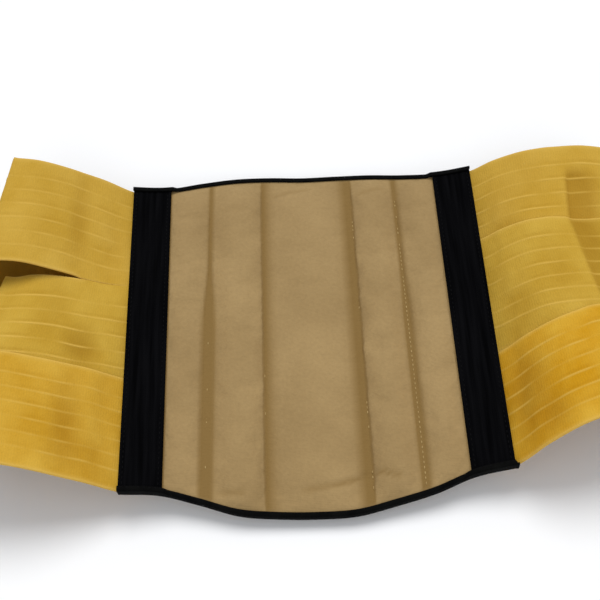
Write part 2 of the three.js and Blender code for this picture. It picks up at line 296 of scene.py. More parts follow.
# Looks: pitches and depths are in metres, scales are patches per metre, and shades are shares of the colour.
elasticLook = {
    "threadPitch": 0.9 * mm,
    "pickPitch": 1.5 * mm,
    "pickWander": 0.7 * mm,
    "wanderScale": 220.0,
    "patchScale": 26.0,
    "napScale": 900.0,
    "napDetail": 2.0,
    "leastShade": 0.9,
    "shades": {"weave": 0.1, "nap": 0.08},
    "marks": [
        # The first mark is painted shade: in the dents and creases, beside the ribs and on the bands' inner
        # face
        ("paintedShade", (0.72, 0.65, 0.44, 1.0), "MULTIPLY"),
        ("rib", paint(216, 177, 82), "MIX"),
        ("selvedge", paint(219, 180, 88), "MIX"),
    ],
    "depths": {"weave": 0.1 * mm, "patches": 0.6 * mm, "nap": 0.06 * mm},
    "roughness": 0.85,
    "sheen": 0.03,
    "sheenTint": paint(240, 205, 110),
    "specular": 0.12,
}

panelLook = {
    "threadPitch": 0.8 * mm,
    "pickPitch": 0.95 * mm,
    "patchScale": 18.0,
    "napScale": 420.0,
    "napDetail": 3.0,
    "leastShade": 0.92,
    "shades": {"nap": 0.09, "weave": 0.06},
    # The crease colour is painted shade in the seams' grooves and in the folds
    "marks": [("paintedCreaseShade", paint(132, 104, 57), "MIX")],
    "depths": {"weave": 0.08 * mm, "nap": 0.16 * mm, "patches": 0.4 * mm},
    "roughness": 0.88,
    "sheen": 0.25,
    "sheenTint": paint(225, 200, 160),
    "specular": 0.2,
}

tapeLook = {
    "threadPitch": 1.1 * mm,
    "pickPitch": 1.3 * mm,
    "streakScale": (260.0, 14.0, 1.0),
    "depths": {"weave": 0.16 * mm, "patches": 0.12 * mm},
    "roughness": 0.92,
    "specular": 0.03,
}

bindingLook = {
    "ribPitch": 0.9 * mm,
    "patchScale": 90.0,
    "depths": {"ribs": 0.12 * mm, "patches": 0.1 * mm},
    "roughness": 0.85,
    "specular": 0.05,
}

closureLook = {
    "patchScale": 30.0,
    "leastShade": 0.65,
    "shades": {"tufts": 0.5},
    "depths": {"tufts": 0.5 * mm, "patches": 0.4 * mm},
    "roughness": 0.92,
    "sheen": 0.1,
    "sheenTint": paint(90, 90, 100),
    "specular": 0.1,
}
hookLook, loopLook = dict(closureLook, pile=900.0), dict(closureLook, pile=600.0)

threadLook = {"patchScale": 700.0, "depths": {"patches": 0.08 * mm}, "roughness": 0.85, "specular": 0.08}


def knitPatterns(tree, look):
    # Lengthwise threads crossed by picks, which wander a little in the elastic, under a fine nap
    cloth, across, along = clothPlaces(tree)
    if "pickWander" in look:
        wander = cloudiness(tree, cloth, look["wanderScale"], 2.0)
        along = calculate(tree, "MULTIPLY_ADD", wander, look["pickWander"], along)
    return {
        "weave": crossedThreads(tree, look, across, along),
        "patches": cloudiness(tree, cloth, look["patchScale"], 4.0),
        "nap": cloudiness(tree, cloth, look["napScale"], look["napDetail"], 0.3, 0.7),
    }


def tapePatterns(tree, look):
    # Dense webbing with lengthwise ridges and streaks
    cloth, across, along = clothPlaces(tree)
    stretched = addNode(tree, "Mapping", {"Vector": cloth, "Scale": look["streakScale"]}).outputs[0]
    return {"weave": crossedThreads(tree, look, across, along), "patches": cloudiness(tree, stretched, 1.0)}


def bindingPatterns(tree, look):
    # Grosgrain: fine ribs across the strip
    cloth, _, along = clothPlaces(tree)
    patches = cloudiness(tree, cloth, look["patchScale"])
    return {"ribs": wave(tree, along, look["ribPitch"]), "patches": patches}


def closurePatterns(tree, look):
    # Hook or loop cloth: a dense pile on a woven ground
    place = addNode(tree, "TexCoord").outputs["Object"]
    pile = addNode(tree, "TexVoronoi", {"Vector": place, "Scale": look["pile"], "Randomness": 0.8})
    return {"tufts": pile.outputs["Distance"], "patches": cloudiness(tree, place, look["patchScale"])}


def threadPatterns(tree, look):
    # Twisted sewing thread
    place = addNode(tree, "TexCoord").outputs["Object"]
    return {"patches": cloudiness(tree, place, look["patchScale"], 2.0)}


def makeElastic(name, deepColour, colour):
    return makeMaterial(name, elasticLook, knitPatterns, deepColour, colour)


upperElastic = makeElastic("upperElastic", paint(196, 154, 52), paint(208, 168, 69))
middleElastic = makeElastic("middleElastic", paint(192, 151, 48), paint(206, 168, 66))
leftLowerElastic = makeElastic("leftLowerElastic", paint(198, 149, 37), paint(214, 170, 62))
rightLowerElastic = makeElastic("rightLowerElastic", paint(203, 147, 20), paint(217, 170, 55))
tanCloth = makeMaterial("tanBrushedCloth", panelLook, knitPatterns, paint(155, 128, 84), paint(168, 140, 94))
webbing = makeMaterial("blackWebbing", tapeLook, tapePatterns, paint(2, 2, 3), paint(10, 10, 12))
grosgrain = makeMaterial("blackGrosgrain", bindingLook, bindingPatterns, paint(4, 4, 4), paint(12, 12, 11))
hookCloth = makeMaterial("hookCloth", hookLook, closurePatterns, paint(22, 22, 24), paint(32, 32, 35))
loopCloth = makeMaterial("loopCloth", loopLook, closurePatterns, paint(15, 15, 16), paint(26, 26, 28))
tanThread = makeMaterial("tanThread", threadLook, threadPatterns, paint(160, 132, 85), paint(188, 161, 110))
blackThread = makeMaterial("blackThread", threadLook, threadPatterns, paint(6, 6, 7), paint(14, 14, 16))
print("materials made")

# Back panel

panel = {
    "margin": 10,
    "seamThickness": 2.4,
    "puff": 5.4,
    "farCrown": 11.5,
    "nearCrown": 17,
    "grooveHalf": 3.4,
    "cellsPerChannel": 18,
    "rows": 110,
    "flatEdge": 2.6,
    "edgeRise": 22,
    "ripple": 0.3,
    "pressure": 4,
    "slack": 0.012,
    "mostMove": 1.3,
    "fillRound": 0.6,
    "foldShade": 0.55,
    "frames": 20,
    "seed": 4,
}
tapes["bedRise"] = tapes["outerHeight"] - panel["seamThickness"] - closure["top"]

# Across is a share of the way to the tapes' outer edges, then the far and near edges' share of their crowns.
outlineRows = [
    (-1, 0, 0),
    (-0.8, 0.12, 0.02),
    (-0.6, 0.6, 0.36),
    (-0.4, 0.94, 0.77),
    (-0.2, 0.99, 0.92),
    (0, 0.85, 0.99),
    (0.2, 0.77, 0.98),
    (0.4, 0.6, 0.73),
    (0.6, 0.25, 0.44),
    (0.8, -0.05, 0.02),
    (1, -0.1, -0.1),
]

# Seams as shares of the visible half width at the far and near ends. Then for the channel to the right
# of each: how high it is puffed, and how gently it falls at its left and right sides. Grooves are how wide
# the seam's flat is at both ends. Dark is how far to its left and right the seam has painted shade, then
# over how far that painted shade fades, in millimetres.
seamColumns = ("far", "near", "puff", "left", "right", "grooves", "dark")
seamTable = [
    (-1, -1, 0.62, 0.8, 0.6, (0.1, 0.1), (0, 0, 0.1, 0.1)),
    (-0.7, -0.73, 1, 1.2, 0.35, (0.2, 1), (0, 0, 1.6, 3)),
    (-0.31, -0.33, 0.62, 1.4, 1.4, (0.1, 0.1), (0, 1, 0.8, 7.5)),
    (0.37, 0.37, 1, 0.35, 1.2, (0.1, 0.1), (4.5, 0, 6.5, 0.9)),
    (0.7, 0.71, 0.62, 0.6, 0.8, (0.25, 0.55), (0, 0, 2, 3.4)),
    (1, 1, 0, 1, 1, (0.1, 0.1), (0, 0, 0.1, 0.1)),
]
seamRows = [dict(zip(seamColumns, row)) for row in seamTable]

# The share of each inner seam's stitches that shows above the cloth, at its near and far ends
stitchesShown = [(0.4, 0.06), (0.14, 0.08), (0.42, 0.2), (1, 0.45)]

# Folds in the panel's cloth: from one place to another, how wide and how deep
foldLines = [
    ((-6, -110), (13.5, -107.4), 3.4, 0.8),
    ((13.5, -107.4), (29.5, -103.6), 3, 1.2),
    ((33.5, -102.4), (40.3, -103), 2.4, 1.1),
    ((40.3, -103), (47.7, -105.8), 2.2, 1.1),
    ((-55, -109.4), (-44, -110), 3, 0.8),
    ((-68, -20.5), (-61, -19.5), 1.6, 0.5),
    ((-68, -63.5), (-60, -62), 1.6, 0.6),
    ((-67, -41), (-62, -42), 1.4, 0.4),
    ((-20, 104), (4, 107), 3, 0.6),
    ((38, 98), (52, 101), 3, 0.5),
]


def farEdge(x):
    return tapes["half"] + panel["farCrown"] * readTable(outlineRows, 1, x / tapes["outer"])


def nearEdge(x):
    return -tapes["half"] - panel["nearCrown"] * readTable(outlineRows, 2, x / tapes["outer"])


def bedHeight(x):
    return closure["top"] + tapes["bedRise"] * np.minimum(1, np.abs(x) / tapes["outer"]) ** 2


def bedTop(x):
    return bedHeight(x) + panel["seamThickness"]


def seamPlace(row, along):
    return tapes["inner"] * lerp(row["near"], row["far"], along)


def seamFlat(row, along):
    # Half the flat of a seam: narrow at its far end and wide from the middle to its near end
    farGroove, nearGroove = row["grooves"]
    return panel["grooveHalf"] * lerp(nearGroove, farGroove, smoothStep(0.5, 0.72, along))


def seamShade(distance, flat, reach):
    return np.clip(1 - np.maximum(distance - flat, 0) / reach, 0, 1) ** 1.3


def panelGrid():
    # Places across for each place along, the padding's share of its full height, and how much painted shade
    # it has
    along = np.linspace(0, 1, panel["rows"] + 1)
    edge = tapes["inner"] + panel["margin"]
    none = np.zeros_like(along)
    x, puff, paintedCreaseShade = [none - edge], [none], [none]
    cells = panel["cellsPerChannel"]
    for row, following in zip(seamRows, seamRows[1:]):
        left, right = seamPlace(row, along), seamPlace(following, along)
        leftFlat, rightFlat = seamFlat(row, along), seamFlat(following, along)
        for k in range(cells):
            share = k / cells
            place = lerp(left, right, share - 0.12 * math.sin(2 * math.pi * share))
            inside = np.clip((place - left - leftFlat) / (right - left - leftFlat - rightFlat), 0, 1)
            steepness = row["left"] if share < 0.5 else row["right"]
            x.append(place)
            puff.append(row["puff"] * np.sin(math.pi * inside) ** steepness)
            leftDark = np.maximum(leftFlat, row["dark"][1])
            rightDark = np.maximum(rightFlat, following["dark"][0])
            leftShade = seamShade(place - left, leftDark, row["dark"][3])
            rightShade = seamShade(right - place, rightDark, following["dark"][2])
            paintedCreaseShade.append(np.maximum(leftShade, rightShade))
    x += [none + tapes["inner"], none + edge]
    puff += [none] * 2
    paintedCreaseShade += [none] * 2
    return along, np.stack(x, 1), np.stack(puff, 1), np.stack(paintedCreaseShade, 1)


def foldDepth(x, y):
    depth = np.zeros_like(x)
    for (startX, startY), (endX, endY), width, deep in foldLines:
        runX, runY = endX - startX, endY - startY
        share = np.clip(((x - startX) * runX + (y - startY) * runY) / (runX**2 + runY**2), 0, 1)
        distance = np.hypot(x - startX - share * runX, y - startY - share * runY)
        depth = np.maximum(depth, deep * bump(distance, width))
    return depth


def inflatePadding(piece, held):
    # The padding pushes the cloth up between its seams. Each point moves a short way at most.
    group = piece.vertex_groups.new(name="sewn")
    for weight in np.unique(held):
        group.add(np.flatnonzero(held == weight).tolist(), float(weight), "REPLACE")
    before = readPlaces(piece.data)
    cloth = piece.modifiers.new("padding", "CLOTH")
    cloth.settings.vertex_group_mass = "sewn"
    cloth.settings.quality = 6
    cloth.settings.use_pressure = True
    cloth.settings.uniform_pressure_force = panel["pressure"]
    cloth.settings.shrink_min = -panel["slack"]
    cloth.settings.effector_weights.gravity = 0
    cloth.collision_settings.use_collision = False
    cloth.point_cache.frame_start, cloth.point_cache.frame_end = 1, panel["frames"]
    for step in range(1, panel["frames"] + 1):
        bpy.context.scene.frame_set(step)
    move = readPlaces(piece.evaluated_get(bpy.context.evaluated_depsgraph_get()).to_mesh()) - before
    piece.modifiers.remove(cloth)
    piece.vertex_groups.remove(group)
    bpy.context.scene.frame_set(1)
    distance = np.linalg.norm(move, axis=1)
    most = panel["mostMove"] * mm
    capped = most * np.tanh(distance / most)
    move *= (capped / np.maximum(distance, 1e-9))[:, None]
    piece.data.vertices.foreach_set("co", (before + move).ravel())
    print("padding settled, moved up to", round(float(distance.max()) / mm, 2), "mm")


def pressFolds(piece, depth):
    # The folds go into the settled cloth
    places = readPlaces(piece.data)
    places[:, 2] -= depth * mm
    piece.data.vertices.foreach_set("co", places.ravel())
    piece.data.update()


def makePanel():
    along, x, puff, paintedCreaseShade = panelGrid()
    y = lerp(nearEdge(x), farEdge(x), along[:, None])
    fromEnd = np.minimum(along, 1 - along)[:, None] * tapes["height"]
    fromFlat = np.clip((fromEnd - panel["flatEdge"]) / panel["edgeRise"], 0, 1)
    fill = np.sin(math.pi / 2 * fromFlat) ** panel["fillRound"]
    random = np.random.default_rng(panel["seed"])
    free = np.minimum(puff * 2, 1) * fill
    soft = ripples(random, x, y, 9, 70, 28) * panel["ripple"] * free
    top = bedTop(x) + panel["puff"] * puff * fill + soft
    under = bedHeight(x)
    rows, columns = x.shape
    topPoints = np.stack([x, y, top], -1)
    underPoints = np.stack([x, y, under], -1)[:, ::-1]
    points = np.concatenate([topPoints, underPoints], 1).reshape(-1, 3)
    flatPlaces = np.stack([points[:, 0] * mm, points[:, 1] * mm], -1)
    nothing = np.zeros_like(paintedCreaseShade)
    folds = foldDepth(x, y) * np.minimum(fill * 1.5, 1)
    # Painted shade at the seams and in the folds, fading out at the panel's far and near edges
    dark = np.maximum(paintedCreaseShade * np.clip(fromEnd / 3, 0, 1), np.minimum(folds * panel["foldShade"], 1))
    marks = np.concatenate([dark, nothing], 1).ravel()
    cap = [[k, k + 1, 2 * columns - 2 - k, 2 * columns - 1 - k] for k in range(columns - 1)]
    faces = ringFaces(rows, 2 * columns, cap)
    shades = {"paintedCreaseShade": marks}
    piece = makePiece("quilted_panel", points, faces, "back_panel", tanCloth, flatPlaces, shades)
    held = np.concatenate([np.where(free > 0.05, 0.0, 1.0), nothing + 1], 1).ravel()
    inflatePadding(piece, held)
    pressFolds(piece, np.concatenate([folds, nothing], 1).ravel())
    return piece


makePanel()
print("panel made")

# Side tapes


def stripRings(topPoints, downwards, thickness):
    # Rings round a strip with rounded edges: topPoints is rows x columns x 3
    rows, columns, _ = topPoints.shape
    radius = thickness / 2
    across = unit(topPoints[:, -1] - topPoints[:, 0])
    angles = np.radians([30, 90, 150])

    def roundEdge(column, outwards, turns):
        edge, down = topPoints[:, column], downwards[:, column]
        sideways, under = radius * np.sin(turns), radius * (1 - np.cos(turns))
        return edge[:, None] + outwards[:, None] * sideways[:, None] + down[:, None] * under[:, None]

    underPoints = (topPoints + downwards * thickness)[:, ::-1]
    return np.concatenate(
        [topPoints, roundEdge(-1, across, angles), underPoints, roundEdge(0, -across, angles[::-1])], 1
    )


def stripFaces(rows, columns):
    perRing = 2 * columns + 6
    bottom = [2 * columns + 2 - k for k in range(columns)]
    cap = [[k, k + 1, bottom[k + 1], bottom[k]] for k in range(columns - 1)]
    cap.append(list(range(columns - 1, columns + 4)))
    cap.append(list(range(2 * columns + 2, perRing)) + [0])
    return ringFaces(rows, perRing, cap)


def stripCloth(flatAcross, flatAlong, radius):
    # Each ring point's place on the flat strip, in metres
    rows, columns = flatAcross.shape
    edgeFar = np.repeat(flatAcross[:, -1:] + radius, 3, 1)
    edgeNear = np.repeat(flatAcross[:, :1] - radius, 3, 1)
    across = np.concatenate([flatAcross, edgeFar, flatAcross[:, ::-1], edgeNear], 1)
    along = np.broadcast_to(flatAlong[:, None], across.shape)
    return np.stack([across * mm, along * mm], -1).reshape(-1, 2)


def makeTape(name, node, side):
    columns, rows = 30, 96
    radius = tapes["thickness"] / 2
    share = np.linspace(0, 1, columns)[None, :]
    x = side * lerp(tapes["inner"] + radius, tapes["outer"] - radius, share) + np.zeros((rows, 1))
    along = np.linspace(0, 1, rows)[:, None]
    y = lerp(nearEdge(x), farEdge(x), along)
    flat = lerp(0, tapes["width"], share) + np.zeros((rows, 1))
    ridges = tapes["ridge"] * np.cos(flat * 2 * math.pi / tapes["ridgePitch"]) - tapes["ridge"]
    z = bedTop(x) + clearance + tapes["thickness"] + ridges
    top = np.stack([x, y, z], -1)
    down = np.zeros_like(top)
    down[..., 2] = -1
    rings = stripRings(top, down, tapes["thickness"] - 2 * tapes["ridge"])
    cloth = stripCloth(flat, y[:, 0], radius)
    faces = stripFaces(rows, columns)
    piece = makePiece(name, rings.reshape(-1, 3), faces, node, webbing, cloth)
    flat = (tapes["width"] * mm, tapes["height"] * mm)
    return piece


makeTape("left_tape", "side_tape_left", -1)
makeTape("right_tape", "side_tape_right", 1)
print("tapes made")

# Bindings

binding = {"thickness": 1, "lip": 2, "steps": 220, "tail": 1.8}


def bindingBed(x):
    # The underside of a binding's upper layer, over the panel's cloth and the tapes
    overTape = smoothStep(tapes["inner"] - 2 * binding["lip"], tapes["inner"] - clearance, np.abs(x))
    return bedTop(x) + clearance + (tapes["thickness"] + clearance) * overTape


def makeBinding(name, node, edge, outward, tail):
    steps = binding["steps"]
    x = np.linspace(-tapes["outer"], tapes["outer"] + tail, steps + 1)
    pastTape = smoothStep(tapes["outer"] - 0.3, tapes["outer"] + 0.3, x)
    lower, upper = bedHeight(x) - clearance, bindingBed(x)
    thickness, lip = binding["thickness"], binding["lip"]
    bend = thickness * 0.7
    outside = clearance + thickness
    section = [
        (-lip, 0, -thickness),
        (clearance, 0, -thickness),
        (outside - bend * 0.3, 0, -thickness + bend * 0.3),
        (outside, 0, 0.15),
        (outside, 1, -0.15),
        (outside - bend * 0.3, 1, thickness - bend * 0.3),
        (clearance, 1, thickness),
        (-lip * 0.5, 1, thickness * 1.04),
        (-lip + 0.25, 1, thickness * 0.95),
        (-lip, 1, thickness * 0.5),
        (-lip + 0.15, 1, 0.02),
        (clearance, 1, 0),
        (clearance, 0, 0),
        (-lip, 0, 0),
    ]
    rings = []
    for out, isUpper, rise in section:
        z = lerp(lower, upper, isUpper) + rise
        reachOut = lerp(out, max(out, 0.4 * clearance), pastTape)
        rings.append(np.stack([x, edge(x) + outward * reachOut, z], -1))
    points = np.stack(rings, 1)
    along, across = lengthsAlong(points[:, 4]), lengthsAlong(points[steps // 2])
    cloth = np.stack(np.broadcast_arrays(across[None, :] * mm, along[:, None] * mm), -1).reshape(-1, 2)
    cap = [[0, 1, 12, 13], [1, 2, 3, 12], [3, 4, 11, 12], [4, 5, 6, 11]]
    cap += [[6, 7, 11], [7, 8, 10, 11], [8, 9, 10]]
    faces = ringFaces(steps + 1, len(section), cap)
    return makePiece(name, points.reshape(-1, 3), faces, node, grosgrain, cloth)


makeBinding("far_binding", "top_binding", farEdge, 1, 0)
makeBinding("near_binding", "bottom_binding", nearEdge, -1, binding["tail"])
print("bindings made")

# Stitches

stitch = {
    "length": 1.8,
    "width": 0.62,
    "height": 0.36,
    "pitch": 3.2,
    "turn": 0.09,
    "sink": 0.5,
    "tapeInset": 2.4,
    "seed": 21,
}


def modelStitch():
    # One stitch: a flattened grain of thread along x
    bpy.ops.mesh.primitive_uv_sphere_add(segments=8, ring_count=6, radius=0.5, rotation=(0, math.pi / 2, 0))
    grain = bpy.context.object
    bpy.ops.object.transform_apply(location=False, rotation=True, scale=False)
    bpy.ops.object.mode_set(mode="EDIT")
    bpy.ops.mesh.select_all(action="SELECT")
    bpy.ops.transform.resize(value=(stitch["length"], stitch["width"], stitch["height"]))
    bpy.ops.mesh.select_all(action="DESELECT")
    bpy.ops.object.mode_set(mode="OBJECT")
    corners = np.array([vertex.co[:] for vertex in grain.data.vertices])
    faces = sorted(list(face.vertices) for face in grain.data.polygons)
    bpy.data.objects.remove(grain)
    return corners, faces


stitchCorners, stitchFaces = modelStitch()


def sewLine(name, line, thread, random, shown=(1.0, 1.0)):
    # Copies of the stitch along a line of places on the cloth; those that don't show are sunk in it
    line = np.asarray(line, float)
    lengths = lengthsAlong(line)
    centres = np.arange(stitch["pitch"] / 2, lengths[-1], stitch["pitch"])
    half = stitch["length"] / 2

    def placesAt(reached):
        return np.stack([np.interp(reached, lengths, line[:, k]) for k in range(3)], 1)

    start, end = placesAt(centres - half), placesAt(centres + half)
    along = unit(end - start)
    turn = random.uniform(-stitch["turn"], stitch["turn"], len(centres))[:, None]
    side = unit(np.cross([0, 0, 1], along))
    along = along + side * turn
    side = side - along * turn
    up = np.cross(along, side)
    middle = (start + end) / 2
    stretches = ripples(random, np.zeros_like(centres), centres, 5, 60, 14) * 0.5 + 0.5
    uneven = 0.6 * stretches + 0.4 * random.uniform(0, 1, len(centres))
    hidden = uneven > np.linspace(*shown, len(centres))
    middle[:, 2] -= stitch["sink"] * hidden
    points = middle[:, None] + sum(
        stitchCorners[None, :, k, None] * axis[:, None] for k, axis in enumerate((along, side, up))
    )
    count = len(stitchCorners)
    faces = [[corner + i * count for corner in face] for i in range(len(centres)) for face in stitchFaces]
    return makePiece(name, points.reshape(-1, 3), faces, None, thread)


def sewPanel(random):
    along = np.linspace(0.02, 0.98, 80)
    for number, row in enumerate(seamRows[1:-1], 1):
        x = seamPlace(row, along)
        y = lerp(nearEdge(x), farEdge(x), along)
        line = np.stack([x, y, bedTop(x) + 0.15], 1)
        shown = stitchesShown[number - 1]
        sewLine("seam_stitches_" + str(number), line, tanThread, random, shown)


def sewTapes(random):
    along = np.linspace(0.012, 0.988, 60)
    inset = stitch["tapeInset"]
    for sideName, side in (("left", -1), ("right", 1)):
        for edgeName, place in (("inner", tapes["inner"] + inset), ("outer", tapes["outer"] - inset)):
            x = np.full_like(along, side * place)
            y = lerp(nearEdge(x), farEdge(x), along)
            z = bedTop(x) + clearance + tapes["thickness"]
            name = sideName + "_tape_" + edgeName + "_stitches"
            sewLine(name, np.stack([x, y, z], 1), blackThread, random)


def sewBindings(random):
    x = np.linspace(-tapes["outer"] + 1, tapes["outer"] - 1, 200)
    z = bindingBed(x) + binding["thickness"]
    for name, edge, inward in (("far", farEdge, -1), ("near", nearEdge, 1)):
        line = np.stack([x, edge(x) + inward * 0.55 * binding["lip"], z], 1)
        sewLine(name + "_binding_stitches", line, blackThread, random)


stitchRandom = np.random.default_rng(stitch["seed"])
sewPanel(stitchRandom)
sewTapes(stitchRandom)
sewBindings(stitchRandom)
print("stitches made")

# Elastic bands

bandCloth = {
    "thickness": 1.5,
    "ribHeight": 0.4,
    "ribHalf": 1.15,
    "ribCount": 6,
    "ribWander": 0.9,
    "selvedge": 1.0,
    "ripple": 0.5,
    "rootLength": 12,
    "rootDrop": 0.5,
    "outerDepth": 0.5,
    "stepLength": 1.5,
    "sewnLength": 49,
    "sewnLap": 0.8,
    "ribStrength": (0.1, 0.85),
    "ribShadow": 1.9,
    "ribShade": 0.45,
    "dentShade": 0.62,
    "selvedgeShade": 0.6,
    "edgeShade": 0.75,
    "looseFrom": (12, 26),
    "looseTo": (150, 180),
    "seed": 11,
}

wings = {"reach": 98, "height": 60, "layerPitch": 2.3}

# How a band rises from the tape to its crest: a share of the crest's distance, then of its height.
# The two edges at the left slit are sewn together for a third of the way.
riseRows = {
    "leftSlitUpper": [(0.25, 0.2), (0.55, 0.6), (0.8, 0.92), (1, 1)],
    "leftSlitLower": [(0.25, 0.23), (0.55, 0.73), (0.8, 0.96), (1, 1)],
    "left": [(0.25, 0.36), (0.55, 0.7), (0.8, 0.92), (1, 1)],
    "right": [(0.25, 0.48), (0.55, 0.85), (0.8, 0.98), (1, 1)],
}

# The fold and the way back: a share of the reach, a share of the crest's height, and how far the band
# has moved from its place at the tape to its place at the closure
foldRows = [(0.985, 0.92, 0.15), (1, 0.68, 0.35), (0.97, 0.36, 0.6), (0.87, 0.1, 0.85), (0.68, 0, 1)]

closureNear = closure["rise"] - closure["height"] / 2
closureFar = closure["rise"] + closure["height"] / 2

# Ribs are the first one's place from the far edge, their pitch and how strong they are. Dents are each a
# place along and across the band, half their length along and across, and their depth. Creases are each a
# sharp drop at a place along the band, its depth, and the places across where it starts and ends. The sewn
# edge is the far (-1) or near (1) one, which laps on its neighbour near the tape.
bands = {
    "left_lower": {
        "side": -1,
        "material": leftLowerElastic,
        "farPlace": nearEdge(-tapes["outer"]) + 73.5,
        "floorPlace": closureNear + 73.5,
        "width": 73.5,
        "ribs": (14, 9.4, 0.7),
        "dents": [(46, 38, 9, 34, 1.1), (24, 10, 8, 20, 0.4), (28, 54, 14, 24, 0.6)],
        "sway": 0.1,
        "floorLayer": 0,
        "far": {"crestAt": 0.73, "crest": 0.85, "plateau": 0.85, "reach": 0.98},
        "near": {"crestAt": 0.72, "crest": 0.94, "plateau": 0.93, "reach": 1},
    },
    "left_middle": {
        "side": -1,
        "material": middleElastic,
        "farPlace": farEdge(-tapes["outer"]) - 76 - clearance,
        "floorPlace": closure["rise"] + 38,
        "width": 76,
        "ribs": (16.6, 10.8, 0.95),
        "dents": [(38, 49, 11, 14, 1.5), (60, 20, 12, 30, 0.5)],
        "sewnEdge": -1,
        "sway": 0.036,
        "floorLayer": 1,
        "far": {"crestAt": 0.6, "crest": 0.62, "plateau": 0.6, "reach": 0.8, "rises": "leftSlitLower"},
        "near": {"under": "left_lower", "rootLayers": 1.2, "layers": 1.2},
    },
    "left_upper": {
        "side": -1,
        "material": upperElastic,
        "farPlace": farEdge(-tapes["outer"]),
        "floorPlace": closureFar,
        "width": 76,
        "ribs": (13.7, 10.1, 0.65),
        "dents": [(47, 34, 7, 34, 0.8), (22, 50, 9, 24, 0.5)],
        "sewnEdge": 1,
        "sway": 0.05,
        "floorLayer": 0,
        "far": {"crestAt": 0.7, "crest": 0.99, "plateau": 1, "reach": 0.77},
        "near": {"crestAt": 0.79, "crest": 0.89, "plateau": 0.87, "reach": 0.93, "rises": "leftSlitUpper"},
        "tuck": 12,
    },
    "right_lower": {
        "side": 1,
        "material": rightLowerElastic,
        "farPlace": nearEdge(tapes["outer"]) + 73.5,
        "floorPlace": closureNear + 73.5,
        "width": 73.5,
        "ribs": (12.8, 9.65, 0.8),
        "dents": [(28, 34, 17, 34, 1.5), (44, 58, 9, 12, 0.8)],
        "sway": 0.18,
        "floorLayer": 0,
        "far": {"crestAt": 0.57, "crest": 0.8, "plateau": 0.8, "reach": 0.98},
        "near": {"crestAt": 0.6, "crest": 0.98, "plateau": 0.97, "reach": 1},
    },
    "right_middle": {
        "side": 1,
        "material": middleElastic,
        "farPlace": farEdge(tapes["outer"]) - 76 + 20,
        "floorPlace": closure["rise"] + 41.5,
        "width": 83,
        "ribs": (15.2, 10.05, 0.8),
        "dents": [(30, 55, 12, 26, 0.6), (60, 40, 10, 20, 0.4)],
        "creases": [(77, 1.7, -14, 72)],
        "sway": 0,
        "floorLayer": 1,
        "far": {"crestAt": 0.46, "crest": 0.67, "plateau": 0.62, "reach": 0.97},
        "near": {"under": "right_lower", "rootLayers": 1.2, "layers": 1.7},
    },
    "right_upper": {
        "side": 1,
        "material": upperElastic,
        "farPlace": farEdge(tapes["outer"]),
        "floorPlace": closureFar,
        "width": 76,
        "ribs": (14.8, 10.5, 0.9),
        "dents": [(50, 20, 12, 24, 0.4), (30, 40, 12, 24, 0.5)],
        "creases": [(72.5, 2.3, 14, 66)],
        "sway": 0,
        "floorLayer": 2,
        "far": {"crestAt": 0.56, "crest": 0.67, "plateau": 0.66, "reach": 0.94},
        "near": {"under": "right_middle", "rootLayers": 1.45, "layers": 2.3},
    },
}

pathRows = 14
bandPaths = {}


def sideRises(band):
    return riseRows["left" if band["side"] < 0 else "right"]


def pathProgress(band):
    # How far each row of a band's path is along the rise and round the fold
    rises = sideRises(band)
    sway = [0, 0] + [out for out, _ in rises] + [1] * 8
    turn = [0] * 7 + [turned for _, _, turned in foldRows] + [1, 1]
    return np.array(sway, float), np.array(turn, float)


def edgeProfile(band, edge):
    # The way of one edge in x and z, from under the tape to the closure
    rises = riseRows[edge["rises"]] if "rises" in edge else sideRises(band)
    crestOut, reach = edge["crestAt"] * wings["reach"], edge["reach"] * wings["reach"]
    crest = edge["crest"] * wings["height"]
    root = tapes["outer"] - bandCloth["rootLength"]
    tapeEdge = bedTop(tapes["outer"]) - bandCloth["rootDrop"]
    end = closure["width"] / 2 + clearance
    floorStart = tapes["outer"] + foldRows[-1][0] * reach
    rows = [(root, bedTop(root) - bandCloth["rootDrop"]), (tapes["outer"], tapeEdge)]
    rows += [(tapes["outer"] + out * crestOut, lerp(tapeEdge, crest, rise)) for out, rise in rises]
    rows += [(tapes["outer"] + (crestOut + reach) / 2, edge["plateau"] * wings["height"])]
    rows += [(tapes["outer"] + out * reach, height * crest) for out, height, _ in foldRows]
    rows += [((floorStart + end) / 2, 0), (end, 0)]
    return np.array(rows, float)


def freeEdge(band, edge, places):
    profile = edgeProfile(band, edge)
    _, turn = pathProgress(band)
    before = profile[np.maximum(np.arange(pathRows) - 1, 0)]
    after = profile[np.minimum(np.arange(pathRows) + 1, pathRows - 1)]
    inward = unit(np.stack([after[:, 1] - before[:, 1], before[:, 0] - after[:, 0]], 1))
    depth = band["floorLayer"] * wings["layerPitch"] * turn
    tilt = inward[:, 0] * depth
    tilt[-1] = 0
    return np.stack([band["side"] * (profile[:, 0] + tilt), places, profile[:, 1] + inward[:, 1] * depth], 1)


def edgesAt(path, t):
    return [curveAt(path[side], t * (pathRows - 1)) for side in ("far", "near")]


def pathPoint(path, t, share):
    return lerp(*edgesAt(path, t), share[..., None])


def pathNormal(path, t, share):
    step = 0.0001
    far, near = edgesAt(path, t)
    before, after = edgesAt(path, t - step), edgesAt(path, t + step)
    tangents = [unit(end - start) for start, end in zip(before, after)]
    return unit(np.cross(near - far, lerp(*tangents, share[..., None]))) * path["side"]


def edgeUnder(band, edge, places):
    # An edge that runs inside another band, so many layers further in
    host = bandPaths[edge["under"]]
    sway, turn = pathProgress(band)
    layers = lerp(lerp(edge["rootLayers"], edge["layers"], sway), 1, turn)
    t = np.arange(pathRows) / (pathRows - 1)
    share = (host["far"][:, 1] - places) / (host["far"][:, 1] - host["near"][:, 1])
    inward = pathNormal(host, t, share) * (-layers * wings["layerPitch"])[:, None]
    inward[[0, -1], 0] = 0
    return pathPoint(host, t, share) + inward


